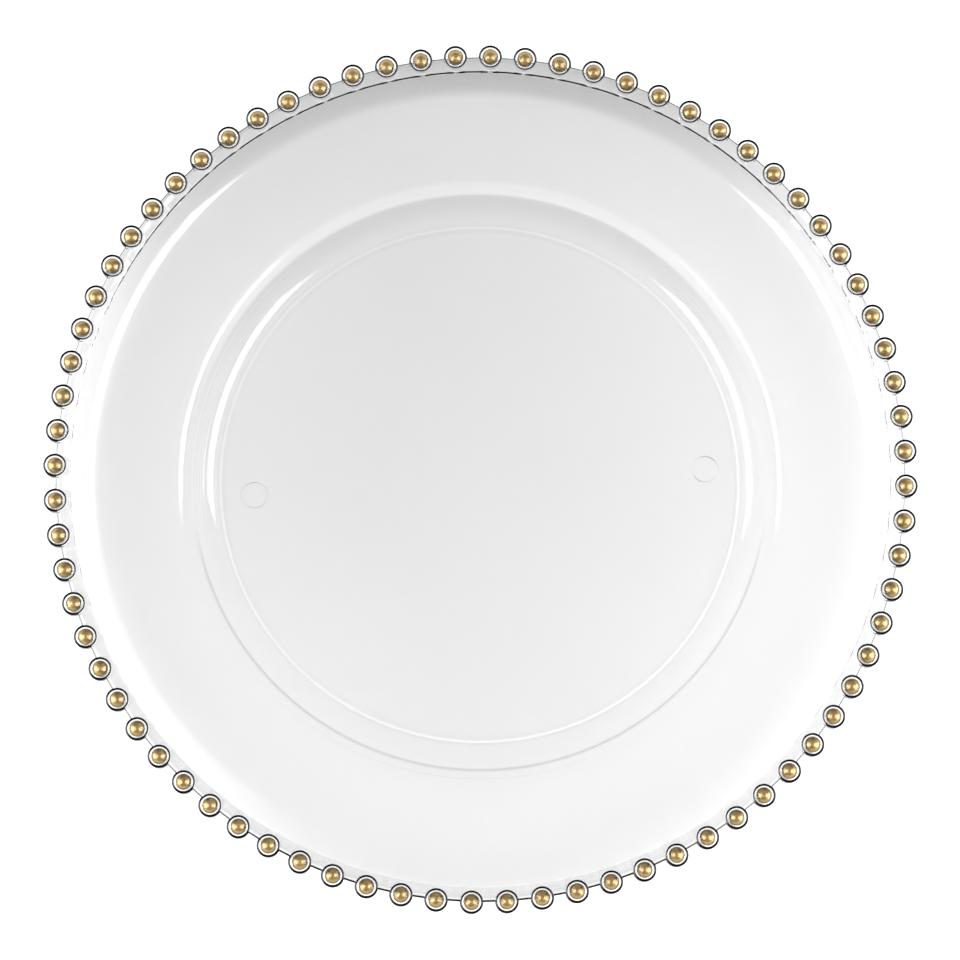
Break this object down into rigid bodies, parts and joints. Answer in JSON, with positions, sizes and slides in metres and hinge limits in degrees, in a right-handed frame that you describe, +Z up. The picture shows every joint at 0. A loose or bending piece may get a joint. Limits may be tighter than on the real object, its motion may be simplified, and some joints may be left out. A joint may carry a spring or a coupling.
{
  "type": "charger plate",
  "caption": "Round clear charger plate with a flat well, a broad rim and a beaded edge with gold pearls.",
  "frame": {"origin": "on the table under the middle of the plate, in the plane that the foot ring stands on", "axes": "+Z up along the plate's axis, +X through the first bead and the two ejector marks"},
  "size_m": [0.33, 0.33, 0.03],
  "materials": {
    "clear_acrylic": "polished",
    "gold_pearl": "gloss"
  },
  "bodies": {
    "root": {"plate_body": "clear_acrylic", "gold_pearls_01": "gold_pearl", "gold_pearls_02": "gold_pearl", "gold_pearls_03": "gold_pearl", "gold_pearls_04": "gold_pearl", "gold_pearls_05": "gold_pearl", "gold_pearls_06": "gold_pearl", "gold_pearls_07": "gold_pearl", "gold_pearls_08": "gold_pearl", "gold_pearls_09": "gold_pearl", "gold_pearls_10": "gold_pearl", "gold_pearls_11": "gold_pearl", "gold_pearls_12": "gold_pearl", "gold_pearls_13": "gold_pearl", "gold_pearls_14": "gold_pearl", "gold_pearls_15": "gold_pearl", "gold_pearls_16": "gold_pearl", "gold_pearls_17": "gold_pearl", "gold_pearls_18": "gold_pearl", "gold_pearls_19": "gold_pearl"}
  },
  "joints": []
}
